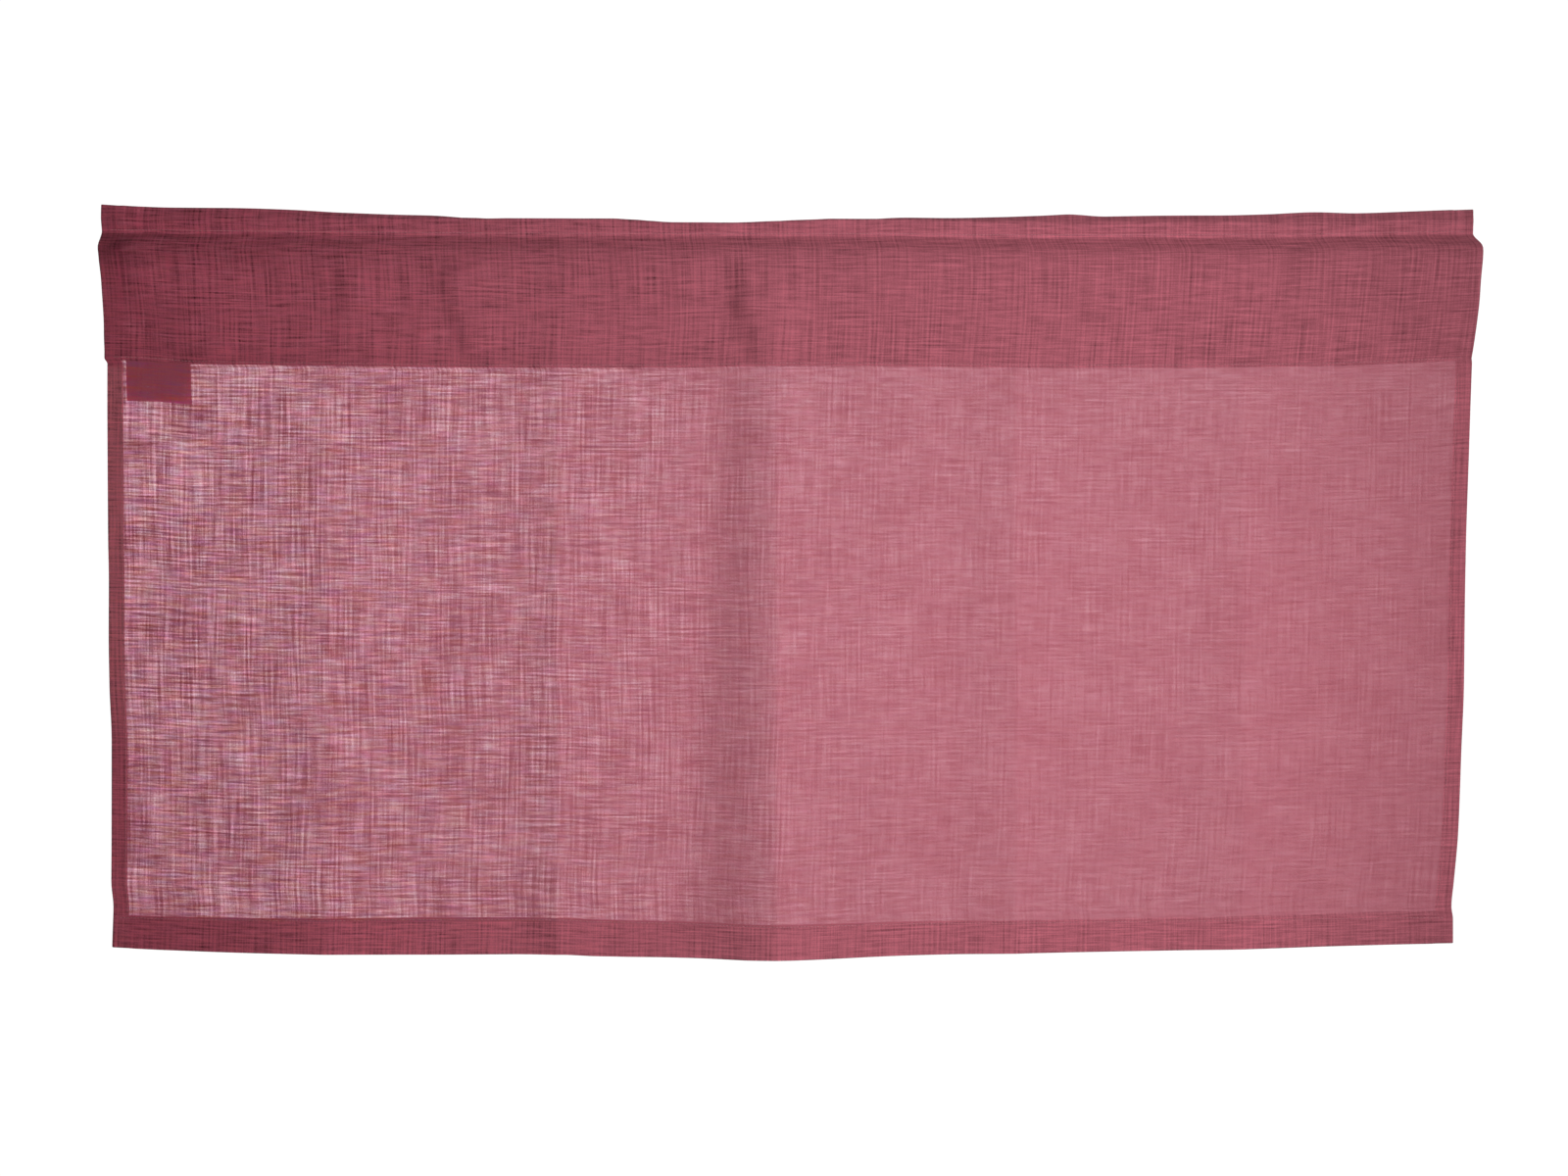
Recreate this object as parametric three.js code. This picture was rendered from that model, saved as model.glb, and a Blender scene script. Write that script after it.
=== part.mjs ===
// A cafe curtain: one width of sheer slubbed cloth with narrow hems, whose top is folded back and stitched
// twice, so that it makes a small header frill and, under it, a rod pocket that is open at both ends.
// Millimetres, +Z up, +X along the curtain's width, +Y from its face to its back.
// The origin is the middle of the curtain's top edge, where it is held up.
//
// The cloth is worked out in a sewing frame first: y = 0 is the plane of the upper stitch line and z = 0 is the
// level of that line at mid width. The group at the end moves it all to the top edge.

import * as THREE from "three";

// ---------------------------------------------------------------- driving dimensions
const LAYER = 1.0; // one layer of cloth
const HEM_EXTRA = 1.3; // what the two turned-in layers of a hem add behind the cloth
const GAP = 0.3; // between the care label and the cloth it is sewn to
const SEAM_GAP = 0.45; // between the heading and the panel under it
const SIDE_HEM = 14; // width of each side hem
const HEM_STEP = 0.6; // run of the step from a hem's inner edge to the single layer
const SEAM_EDGE = 2.0; // pressed edge under the pocket's lower stitch line
const NECK = 2.5; // gathered part of the frill just over the upper stitch line
const CURL = 1.5; // radius over which the frill curls back
const EYE = 1911; // the frill is as high as it looks from this far in front of it,
const EYE_DROP = 309.5; // this far under the upper stitch line
const LONGEST_STEP = 30; // widest gap between two sections across the width
const LABEL = { left: -578, width: 57, height: 35.5, thick: 0.8, slope: -0.5, curl: 3.5 };

// Level of the upper stitch line across the width.
const UPPER_SEAM = [
  { x: -600, z: 3.5 },
  { x: -430, z: 1.8 },
  { x: -170, z: 0.1 },
  { x: 90, z: -0.1 },
  { x: 170, z: -1.2 },
  { x: 430, z: -0.8 },
  { x: 560, z: 1.4 },
  { x: 606, z: 1.8 },
];

// Header frill: how wide it is from the stitch line to the fold, and the even lean back that would leave it as
// high as it is. It really stands nearly upright and then curls back.
const FRILL = [
  { x: -600, width: 24.5, lean: 6 },
  { x: -569, width: 24.5, lean: 13 },
  { x: -540, width: 24.4, lean: 15 },
  { x: -488, width: 24.4, lean: 15 },
  { x: -430, width: 24.3, lean: 19 },
  { x: -390, width: 24.3, lean: 27 },
  { x: -344, width: 24.2, lean: 32 },
  { x: -310, width: 24.2, lean: 34 },
  { x: -284, width: 24.2, lean: 39 },
  { x: -263, width: 24.1, lean: 49 },
  { x: -206, width: 24.1, lean: 45 },
  { x: -172, width: 24.0, lean: 45 },
  { x: -138, width: 24.0, lean: 50 },
  { x: -95, width: 24.0, lean: 59 },
  { x: -52, width: 23.9, lean: 59 },
  { x: 0, width: 23.9, lean: 54 },
  { x: 52, width: 23.8, lean: 46 },
  { x: 108, width: 23.7, lean: 34 },
  { x: 150, width: 23.7, lean: 33 },
  { x: 189, width: 23.6, lean: 31 },
  { x: 225, width: 23.6, lean: 24 },
  { x: 251, width: 23.6, lean: 19 },
  { x: 284, width: 23.5, lean: 28 },
  { x: 327, width: 23.5, lean: 26 },
  { x: 378, width: 23.4, lean: 25 },
  { x: 430, width: 23.4, lean: 20 },
  { x: 464, width: 23.3, lean: 16 },
  { x: 503, width: 23.3, lean: 20 },
  { x: 550, width: 23.3, lean: 18 },
  { x: 583, width: 23.2, lean: 15 },
  { x: 606, width: 23.2, lean: 13 },
];

// Lower edge of the rod pocket, and how far its two layers stand apart at the fullest place.
const POCKET = [
  { x: -600, z: -108.3, front: 11.0, back: 11.0 },
  { x: -559, z: -109.4, front: 10.0, back: 10.5 },
  { x: -516, z: -112.6, front: 9.5, back: 10.5 },
  { x: -172, z: -116.0, front: 9.5, back: 10.5 },
  { x: 43, z: -114.3, front: 9.5, back: 10.5 },
  { x: 258, z: -116.0, front: 9.5, back: 10.5 },
  { x: 430, z: -115.1, front: 10.0, back: 10.5 },
  { x: 560, z: -111.0, front: 11.5, back: 10.5 },
  { x: 606, z: -108.5, front: 13.0, back: 11.0 },
];

// Profile of the pocket from its lower stitch line (0) to its upper one (1): share of the full spread.
const POCKET_PROFILE = [
  { up: 0.0, spread: 0.0 },
  { up: 0.09, spread: 0.15 },
  { up: 0.3, spread: 0.5 },
  { up: 0.55, spread: 0.93 },
  { up: 0.72, spread: 1.17 },
  { up: 0.828, spread: 1.2 },
  { up: 0.888, spread: 0.96 },
  { up: 0.94, spread: 0.49 },
  { up: 1.0, spread: 0.0 },
];

// Ends of the heading, from the lower seam (0) over the upper seam (1) to the frill's fold (2).
const HEADING_ENDS = [
  { up: 0.0, left: -596.6, right: 603.6 },
  { up: 0.15, left: -596.4, right: 604.8 },
  { up: 0.3, left: -595.8, right: 605.9 },
  { up: 0.6, left: -596.2, right: 607.6 },
  { up: 0.78, left: -597.4, right: 608.6 },
  { up: 0.88, left: -598.9, right: 609.3 },
  { up: 1.0, left: -598.6, right: 604.6 },
  { up: 1.4, left: -599.2, right: 604.8 },
  { up: 2.0, left: -600.0, right: 606.4 },
];

// Side edges of the panel, by level.
const PANEL_SIDES = [
  { z: -636, left: -590.8, right: 588.0 },
  { z: -600, left: -589.6, right: 587.8 },
  { z: -590, left: -589.3, right: 586.4 },
  { z: -567, left: -591.2, right: 588.5 },
  { z: -524, left: -591.0, right: 592.2 },
  { z: -445, left: -590.9, right: 595.2 },
  { z: -395, left: -592.9, right: 597.2 },
  { z: -352, left: -593.5, right: 597.6 },
  { z: -300, left: -593.2, right: 598.2 },
  { z: -266, left: -593.8, right: 598.9 },
  { z: -160, left: -594.2, right: 602.4 },
  { z: -105, left: -594.0, right: 604.2 },
];

// Bottom edge of the panel and height of its hem across the width.
const BOTTOM = [
  { x: -590, z: -625.4, hem: 28.4 },
  { x: -542, z: -627.6, hem: 29.4 },
  { x: -439, z: -630.1, hem: 31.0 },
  { x: -301, z: -630.9, hem: 32.4 },
  { x: -199, z: -630.4, hem: 32.1 },
  { x: -163, z: -632.2, hem: 32.0 },
  { x: -26, z: -634.7, hem: 31.2 },
  { x: 9, z: -634.6, hem: 31.0 },
  { x: 112, z: -631.3, hem: 29.4 },
  { x: 249, z: -628.8, hem: 28.2 },
  { x: 421, z: -625.5, hem: 26.8 },
  { x: 586, z: -621.7, hem: 24.4 },
];

// Upright fold lines, left by folding the curtain in six. Each is a crest towards the face: the cloth comes
// forward over `front` mm on its left, `broader` lower down, and goes back over `back` mm on its right.
const CRESTS = [
  { x: -400, rise: 2.3, front: 60, back: 110, broader: 0.0 },
  { x: -199, rise: 2.6, front: 40, back: 120, broader: 0.0 },
  { x: -6, rise: 13.0, front: 72, back: 180, broader: 0.25 },
  { x: 203, rise: 3.0, front: 60, back: 130, broader: 0.0 },
  { x: 403, rise: 2.4, front: 60, back: 120, broader: 0.0 },
];

// How much of the folds is there at each level.
const FOLD_SHARE = [
  { z: -640, share: 1.15 },
  { z: -560, share: 1.06 },
  { z: -420, share: 1.0 },
  { z: -220, share: 0.72 },
  { z: -116, share: 0.38 },
  { z: -60, share: 0.12 },
  { z: 0, share: 0.0 },
  { z: 40, share: 0.0 },
];

// Broad unevenness of the hanging cloth.
const WAVES = [
  { length: 610, shift: 120, swing: 2.2 },
  { length: 270, shift: 40, swing: 0.9 },
];

// Slack of the pocket's face. From an upper to a lower end of a line, the face comes forward by the rise over
// `before` mm on the line's left (its right, where side is -1) and goes back over `after` mm on its other side.
const POCKET_SLACK = [
  { x1: -566, z1: -6, x2: -499, z2: -100, rise: 4.2, before: 44, after: 70, fade: 12, side: 1 },
  { x1: -377, z1: -38, x2: -381, z2: -96, rise: 2.2, before: 18, after: 40, fade: 12, side: 1 },
  { x1: -293, z1: -40, x2: -272, z2: -94, rise: 3.4, before: 15, after: 60, fade: 10, side: 1 },
  { x1: -36, z1: -34, x2: -34, z2: -66, rise: 2.8, before: 14, after: 50, fade: 9, side: 1 },
  { x1: -30, z1: -60, x2: -16, z2: -104, rise: 3.6, before: 21, after: 60, fade: 12, side: 1 },
  { x1: 612, z1: -62, x2: 520, z2: -104, rise: 3.0, before: 60, after: 26, fade: 12, side: -1 },
];

// ---------------------------------------------------------------- helpers
// Smooth curve through one column of a table, without overshoot between rows.
function along(table, key, column) {
  const n = table.length;
  const rows = [...table].sort((a, b) => a[key] - b[key]);
  const step = [],
    slope = [];
  for (let i = 0; i < n - 1; i++) {
    step.push(rows[i + 1][key] - rows[i][key]);
    slope.push((rows[i + 1][column] - rows[i][column]) / step[i]);
  }
  const tangent = rows.map((_, i) => {
    if (i === 0) return slope[0];
    if (i === n - 1) return slope[n - 2];
    const [a, b] = [slope[i - 1], slope[i]];
    return a * b <= 0 ? 0 : (2 * a * b) / (a + b);
  });
  return (at) => {
    if (at <= rows[0][key]) return rows[0][column];
    if (at >= rows[n - 1][key]) return rows[n - 1][column];
    let i = 0;
    while (at > rows[i + 1][key]) i++;
    const t = (at - rows[i][key]) / step[i];
    const t2 = t * t,
      t3 = t2 * t;
    return (
      (2 * t3 - 3 * t2 + 1) * rows[i][column] +
      (t3 - 2 * t2 + t) * step[i] * tangent[i] +
      (-2 * t3 + 3 * t2) * rows[i + 1][column] +
      (t3 - t2) * step[i] * tangent[i + 1]
    );
  };
}

const mix = (a, b, t) => a + (b - a) * t;
const clamp01 = (t) => Math.min(1, Math.max(0, t));
const ease = (t) => {
  const c = clamp01(t);
  return c * c * (3 - 2 * c);
};

const seamZ = along(UPPER_SEAM, "x", "z");
const frillWidth = along(FRILL, "x", "width");
const frillLean = along(FRILL, "x", "lean");
const pocketZ = along(POCKET, "x", "z");
const pocketFront = along(POCKET, "x", "front");
const pocketBack = along(POCKET, "x", "back");
const pocketSpread = along(POCKET_PROFILE, "up", "spread");
const headingLeft = along(HEADING_ENDS, "up", "left");
const headingRight = along(HEADING_ENDS, "up", "right");
const panelLeft = along(PANEL_SIDES, "z", "left");
const panelRight = along(PANEL_SIDES, "z", "right");
const bottomZ = along(BOTTOM, "x", "z");
const hemHeight = along(BOTTOM, "x", "hem");
const foldShare = along(FOLD_SHARE, "z", "share");

// How far the hanging cloth stands forward of the stitch line's plane.
function forward(x, z) {
  let out = 0;
  for (const c of CRESTS) {
    const d = x - c.x;
    const front = c.front * (1 + (c.broader * (-z - 350)) / 250);
    if (d <= 0) out += c.rise * ease((d + front) / front);
    else out += c.rise * (1 - clamp01(d / c.back)) ** 2;
  }
  for (const w of WAVES)
    out += w.swing * Math.sin((2 * Math.PI * (x - w.shift)) / w.length);
  return out * foldShare(z);
}

// How far the pocket's loose face stands forward of its plain shape.
function slack(x, z) {
  let out = 0;
  for (const h of POCKET_SLACK) {
    const dx = h.x2 - h.x1,
      dz = h.z2 - h.z1,
      length = Math.hypot(dx, dz);
    const run = ((x - h.x1) * dx + (z - h.z1) * dz) / length; // along the line, from its upper end
    const d = (h.side * ((z - h.z1) * dx - (x - h.x1) * dz)) / length; // across it
    const share = ease((run + h.fade) / h.fade) * ease((length + h.fade - run) / h.fade);
    const rest = 1 - clamp01((d + h.before) / h.before);
    out += h.rise * share * (d <= 0 ? mix(ease(1 - rest), 1 - rest * rest, 0.6) : 1 - ease(d / h.after));
  }
  return out;
}

// Sections across the width: one at each given place, and between them none further apart than LONGEST_STEP.
function sections(places, longest = LONGEST_STEP) {
  const sorted = [...new Set(places)].sort((a, b) => a - b);
  const out = [];
  for (let i = 0; i < sorted.length - 1; i++) {
    const parts = Math.max(1, Math.ceil((sorted[i + 1] - sorted[i]) / longest - 0.05));
    for (let k = 0; k < parts; k++)
      out.push(mix(sorted[i], sorted[i + 1], k / parts));
  }
  out.push(sorted[sorted.length - 1]);
  return out;
}

function morph(geometry, place) {
  const at = geometry.attributes.position;
  const p = new THREE.Vector3();
  for (let i = 0; i < at.count; i++) {
    p.fromBufferAttribute(at, i);
    place(p);
    at.setXYZ(i, p.x, p.y, p.z);
  }
  geometry.deleteAttribute("uv");
  geometry.computeVertexNormals();
  return geometry;
}

// ---------------------------------------------------------------- heading
// Point on the middle of the frill, from the upper stitch line (t = 0) to the fold (t = 1), with its lean there.
function frillAt(x, t) {
  const even = THREE.MathUtils.degToRad(frillLean(x));
  const whole = frillWidth(x);
  const last = Math.min(Math.max(2 * even, Math.PI / 180), THREE.MathUtils.degToRad(96));
  const first = -0.03 * last;
  const curled = clamp01(last / (Math.PI / 2));
  const seen = ((seamZ(x) + NECK + (whole - NECK) * Math.cos(even) + EYE_DROP) * (EYE + 2 * curled)) / (EYE + (whole - NECK) * Math.sin(even));
  const high = seen - EYE_DROP - seamZ(x) - 1.1 * curled;
  const arc = CURL * (last - first);
  let beyond = ((whole - arc) * Math.cos(first) - high + CURL * (Math.sin(last) - Math.sin(first))) / (Math.cos(first) - Math.cos(last));
  beyond = Math.min(Math.max(beyond, 0), 0.5 * whole);
  const straight = whole - arc - beyond;
  const s = t * whole;
  const lean = first + (last - first) * clamp01((s - straight) / arc);
  const up = Math.min(s, straight),
    over = Math.max(0, s - straight - arc);
  return {
    y: up * Math.sin(first) + CURL * (Math.cos(first) - Math.cos(lean)) + over * Math.sin(last),
    z: seamZ(x) + up * Math.cos(first) + CURL * (Math.sin(lean) - Math.sin(first)) + over * Math.cos(last),
    lean,
  };
}

// The strip's section is drawn once at a plain size, pocket and frill upright, and is then brought to the width,
// spread, lean and level that it has at each place along the curtain.
const PLAIN = { spread: 10, pocket: 114, frill: 23, edge: 2 };
const UP = POCKET_PROFILE.map((row) => row.up).slice(1, -1);
const FRILL_UP = [0, 0.15, 0.35, 0.5, 0.62, 0.74, 0.86, 0.96];
const plainWall = (q) => PLAIN.spread * pocketSpread(q);
const section = new THREE.Shape();
section.moveTo(-LAYER, -PLAIN.edge);
section.lineTo(LAYER, -PLAIN.edge);
for (const q of UP) section.lineTo(plainWall(q) + LAYER, q * PLAIN.pocket);
for (const q of FRILL_UP) section.lineTo(LAYER, PLAIN.pocket + q * PLAIN.frill);
section.lineTo(0, PLAIN.pocket + PLAIN.frill);
for (const q of [...FRILL_UP].reverse()) section.lineTo(-LAYER, PLAIN.pocket + q * PLAIN.frill);
for (const q of [...UP].reverse()) section.lineTo(-plainWall(q) - LAYER, q * PLAIN.pocket);
section.closePath();
const pocket = new THREE.Path();
pocket.moveTo(0, 0.02 * PLAIN.pocket);
for (const q of UP) pocket.lineTo(plainWall(q), q * PLAIN.pocket);
pocket.lineTo(0, 0.985 * PLAIN.pocket);
for (const q of [...UP].reverse()) pocket.lineTo(-plainWall(q), q * PLAIN.pocket);
pocket.closePath();
section.holes.push(pocket);

const headingPlaces = [
  -600, -585, -570, -555, -538, -520, -505, -490, -460,
  -430, -397, -386, -376, -360, -344, -310, -300, -290, -280, -270, -256, -240,
  -199, -172, -138, -95, -60, -50, -42, -34, -24, -14, 8, 30, 52,
  108, 150, 189, 225, 251, 284, 327, 403, 430, 464, 500, 520, 545, 570, 590, 606,
];
const headingX = sections(headingPlaces, 45);
const headingSteps = headingX.length - 1;
const headingFirst = headingX[0],
  headingSpan = headingX[headingSteps] - headingX[0];

const headingGeometry = morph(
  new THREE.ExtrudeGeometry(section, { depth: 1, steps: headingSteps, bevelEnabled: false, curveSegments: 1 }),
  (p) => {
    const side = Math.abs(p.x) < 1e-4 ? 0 : Math.sign(p.x);
    const inFrill = p.y > PLAIN.pocket - 1e-3;
    const q = p.y < 0 ? -1 : inFrill ? Math.max(0, p.y - PLAIN.pocket) / PLAIN.frill : p.y / PLAIN.pocket;
    const up = inFrill ? 1 + q : Math.max(0, q);
    const nominal = headingX[Math.round(p.z * headingSteps)];
    const x = mix(headingLeft(up), headingRight(up), (nominal - headingFirst) / headingSpan);
    let y, z;
    if (inFrill) {
      const f = frillAt(x, q);
      const off = side * (q > 0.9 ? 0.8 : 1) * LAYER;
      y = f.y + off * Math.cos(f.lean);
      z = f.z - off * Math.sin(f.lean);
    } else {
      z = q < 0 ? pocketZ(x) : mix(pocketZ(x) + SEAM_EDGE, seamZ(x), q);
      const wall = q < 0.03 || q > 0.98 ? 0 : plainWall(q);
      const outer = Math.abs(p.x) > wall + LAYER / 2;
      const reach = ((side < 0 ? pocketFront(x) : pocketBack(x)) * wall) / PLAIN.spread;
      const loose = side < 0 ? ease(Math.min(q, 1 - q) / 0.12) * (slack(x, z) - 0.9) : 0;
      y = side * (reach + loose + (outer ? LAYER : 0)) - forward(x, z);
    }
    p.set(x, y, z);
  },
);

// ---------------------------------------------------------------- panel
const hemEdge = (side) => side * (SIDE_HEM + HEM_STEP);
const PANEL_X_LEFT = PANEL_SIDES[0].left,
  PANEL_X_RIGHT = PANEL_SIDES[0].right;
const panelPlaces = [PANEL_X_LEFT + SIDE_HEM + HEM_STEP, PANEL_X_RIGHT - SIDE_HEM - HEM_STEP];
for (const c of CRESTS)
  panelPlaces.push(c.x - c.front, c.x - c.front / 2, c.x - 5, c.x + 3, c.x + 12);
const panelX = sections(panelPlaces);
// Column numbers: outer edge, hem's inner edge, then the single layer.
const columns = [
  { inset: 0, hem: 1 },
  { inset: SIDE_HEM, hem: 1 },
  ...panelX.map((x) => ({ x, hem: 0 })),
  { inset: -SIDE_HEM, hem: 1 },
  { inset: -0, hem: 1, last: true },
];
const SHEET_ROWS = 12;
const rows = [];
for (let i = 0; i <= SHEET_ROWS; i++) rows.push({ sheet: i / SHEET_ROWS, hem: 0 });
rows.push({ below: 0, hem: 1 }, { below: 0.5, hem: 1 }, { below: 1, hem: 1 });

function panelPoint(column, row) {
  // A first place across the width settles the level, and the level settles the side edges.
  const nominal = column.x ?? (column.last ? PANEL_X_RIGHT : column.inset >= 0 ? PANEL_X_LEFT + column.inset : PANEL_X_RIGHT + column.inset);
  const share = (nominal - PANEL_X_LEFT) / (PANEL_X_RIGHT - PANEL_X_LEFT);
  const lowX = mix(BOTTOM[0].x, BOTTOM[BOTTOM.length - 1].x, share);
  const top = pocketZ(nominal) - SEAM_GAP,
    bottom = bottomZ(lowX),
    hem = bottom + hemHeight(lowX);
  const z = row.hem ? mix(hem, bottom, row.below) : mix(top, hem + HEM_STEP, row.sheet);
  const left = panelLeft(z),
    right = panelRight(z);
  let x;
  if (column.hem) x = column.last ? right : column.inset >= 0 ? left + column.inset : right + column.inset;
  else {
    const inner = PANEL_X_LEFT + SIDE_HEM + HEM_STEP,
      outer = PANEL_X_RIGHT - SIDE_HEM - HEM_STEP;
    x = mix(left + SIDE_HEM + HEM_STEP, right - SIDE_HEM - HEM_STEP, (column.x - inner) / (outer - inner));
  }
  return { x, z };
}

const panelGeometry = morph(
  new THREE.BoxGeometry(1, 1, 1, columns.length - 1, 1, rows.length - 1),
  (p) => {
    const column = columns[Math.round((p.x + 0.5) * (columns.length - 1))];
    const row = rows[Math.round((0.5 - p.z) * (rows.length - 1))];
    const at = panelPoint(column, row);
    const hem = column.hem || row.hem ? HEM_EXTRA : 0;
    const y = -forward(at.x, at.z) + (p.y > 0 ? LAYER / 2 + hem : -LAYER / 2);
    p.set(at.x, y, at.z);
  },
);

// ---------------------------------------------------------------- care label
const labelGeometry = morph(new THREE.BoxGeometry(1, 1, 1, 5, 1, 4), (p) => {
  const u = p.x + 0.5,
    v = 0.5 - p.z;
  const x = LABEL.left + u * LABEL.width;
  const z = pocketZ(x) - GAP - 0.1 - v * (LABEL.height + (u - 0.5) * LABEL.slope);
  const y = -forward(x, z) + LAYER / 2 + GAP + LABEL.curl * v * v * (0.55 + 0.45 * u);
  p.set(x, y + (p.y > 0 ? LABEL.thick : 0), z);
});

// ---------------------------------------------------------------- scene graph
function cloth(name, geometry, color, roughness) {
  const mesh = new THREE.Mesh(
    geometry,
    new THREE.MeshStandardMaterial({ color, roughness, metalness: 0, side: THREE.DoubleSide }),
  );
  mesh.name = name;
  return mesh;
}

const curtain = new THREE.Group();
// The top edge is the highest line of the frill.
let topEdge = frillAt(0, 0);
for (let i = 1; i <= 1000; i++) {
  const at = frillAt(0, i / 1000);
  if (at.z > topEdge.z) topEdge = at;
}
curtain.position.set(0, -topEdge.y, -topEdge.z);
curtain.add(
  cloth("heading", headingGeometry, 0x9a5260, 0.9),
  cloth("panel", panelGeometry, 0xb97080, 0.92),
  cloth("care_label", labelGeometry, 0xe4dcd8, 0.6),
);

const part = new THREE.Group();
part.add(curtain);

export default part;
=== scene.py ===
import math

import bpy
import numpy as np
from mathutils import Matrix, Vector


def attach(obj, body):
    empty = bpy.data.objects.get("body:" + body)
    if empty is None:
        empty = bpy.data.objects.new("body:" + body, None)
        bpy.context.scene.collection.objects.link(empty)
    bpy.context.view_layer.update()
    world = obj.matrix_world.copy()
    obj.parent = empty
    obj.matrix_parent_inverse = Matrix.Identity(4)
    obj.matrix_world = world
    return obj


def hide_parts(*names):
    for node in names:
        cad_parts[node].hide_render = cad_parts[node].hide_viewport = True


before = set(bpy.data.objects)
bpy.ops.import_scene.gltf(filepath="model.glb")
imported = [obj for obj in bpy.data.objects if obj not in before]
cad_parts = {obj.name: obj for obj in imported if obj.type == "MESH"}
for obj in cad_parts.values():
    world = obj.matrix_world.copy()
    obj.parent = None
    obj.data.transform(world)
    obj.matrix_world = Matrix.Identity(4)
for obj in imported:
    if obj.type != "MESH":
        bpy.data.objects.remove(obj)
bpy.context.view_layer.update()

scene = bpy.context.scene
MM = 0.001

# ------------------------------------------------------------------ sizes, in millimetres, as in the part's source
# The cloth is worked out in its sewing frame: y = 0 is the plane of the upper stitch line and z = 0 its level at
# mid width. TOP then moves it all so that the middle of the top edge is the origin.
UPPER_SEAM = [(-600, 3.5), (-430, 1.8), (-170, 0.1), (90, -0.1), (170, -1.2), (430, -0.8), (560, 1.4), (606, 1.8)]
FRILL = [  # x, width, lean in degrees
    (-600, 24.5, 6), (-569, 24.5, 13), (-540, 24.4, 15), (-488, 24.4, 15), (-430, 24.3, 19), (-390, 24.3, 27), (-344, 24.2, 32),
    (-310, 24.2, 34), (-284, 24.2, 39), (-263, 24.1, 49), (-206, 24.1, 45), (-172, 24.0, 45), (-138, 24.0, 50), (-95, 24.0, 59),
    (-52, 23.9, 59), (0, 23.9, 54), (52, 23.8, 46), (108, 23.7, 34), (150, 23.7, 33), (189, 23.6, 31), (225, 23.6, 24), (251, 23.6, 19),
    (284, 23.5, 28), (327, 23.5, 26), (378, 23.4, 25), (430, 23.4, 20), (464, 23.3, 16), (503, 23.3, 20), (550, 23.3, 18), (583, 23.2, 15),
    (606, 23.2, 13),
]
POCKET = [  # x, level of its lower edge, reach of its front and back layers
    (-600, -108.3, 11.0, 11.0), (-559, -109.4, 10.0, 10.5), (-516, -112.6, 9.5, 10.5), (-172, -116.0, 9.5, 10.5),
    (43, -114.3, 9.5, 10.5), (258, -116.0, 9.5, 10.5), (430, -115.1, 10.0, 10.5), (560, -111.0, 11.5, 10.5),
    (606, -108.5, 13.0, 11.0),
]
POCKET_PROFILE = [
    (0.0, 0.0), (0.05, 0.085), (0.3, 0.5), (0.55, 0.93), (0.68, 1.12), (0.784, 1.23), (0.828, 1.2), (0.862, 1.11), (0.888, 0.96),
    (0.914, 0.745), (0.94, 0.49), (0.9655, 0.235), (0.987, 0.055), (1.0, 0.0),
]
HEADING_ENDS = [  # up, left, right
    (0.0, -596.6, 603.6), (0.15, -596.4, 604.8), (0.3, -595.8, 605.9), (0.6, -596.2, 607.6), (0.78, -597.4, 608.6), (0.88, -598.9, 609.3),
    (1.0, -598.6, 604.6), (1.4, -599.2, 604.8), (2.0, -600.0, 606.4),
]
PANEL_SIDES = [  # level, left, right
    (-636, -590.8, 588.0), (-600, -589.6, 587.8), (-590, -589.3, 586.4), (-567, -591.2, 588.5), (-524, -591.0, 592.2),
    (-445, -590.9, 595.2), (-395, -592.9, 597.2), (-352, -593.5, 597.6), (-300, -593.2, 598.2), (-266, -593.8, 598.9),
    (-160, -594.2, 602.4), (-105, -594.0, 604.2),
]
BOTTOM = [  # x, level, hem height
    (-590, -625.4, 28.4), (-542, -627.6, 29.4), (-439, -630.1, 31.0), (-301, -630.9, 32.4), (-199, -630.4, 32.1),
    (-163, -632.2, 32.0), (-26, -634.7, 31.2), (9, -634.6, 31.0), (112, -631.3, 29.4), (249, -628.8, 28.2),
    (421, -625.5, 26.8), (586, -621.7, 24.4),
]
CRESTS = [  # x, rise, front, back, how much broader its front is lower down
    (-400, 2.3, 60, 110, 0.0), (-199, 2.6, 40, 120, 0.0), (-6, 13.0, 72, 180, 0.25), (203, 3.0, 60, 130, 0.0), (403, 2.4, 60, 120, 0.0),
]
FOLD_SHARE = [(-640, 1.15), (-560, 1.06), (-420, 1.0), (-220, 0.72), (-116, 0.38), (-60, 0.12), (0, 0.0), (40, 0.0)]
WAVES = [(610, 120, 2.2), (270, 40, 0.9)]  # length, shift, swing
# Slack of the pocket's face: from an upper to a lower end of a line, the face comes forward by the rise over `before` mm on
# the line's left and goes back over `after` mm on its right. It fades out over `fade` mm past the line's ends.
POCKET_SLACK = [  # x1, z1, x2, z2, rise, before, after, fade
    (-566, -6, -499, -100, 4.2, 44, 70, 12),
    (-571, -2, -561, -46, 1.6, 14, 26, 12),
    (-377, -38, -381, -96, 2.2, 18, 40, 12),
    (-293, -40, -272, -94, 3.4, 15, 60, 10),
    (-36, -34, -34, -66, 2.8, 14, 50, 9),
    (-30, -60, -16, -104, 3.6, 21, 60, 12),
    (8, -5, 11, -19, 1.0, 7, 16, 6),
    (203, -4, 206, -15, 0.9, 6, 14, 5),
    (-199, -6, -199, -104, 0.3, 6, 22, 10),
]
POCKET_SLACK_RIGHT = [(612, -62, 520, -104, 3.0, 60, 26, 12)]  # the same, coming forward on the line's right
NECK, CURL = 2.5, 1.5
EYE, EYE_DROP = 1911.0, 309.5  # the camera's distance in front of the cloth, and its level below the upper seam
SIDE_HEM = 14.0
LABEL = {"left": -578.0, "width": 57.0, "height": 35.5, "slope": -0.5, "curl": 3.5}

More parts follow.
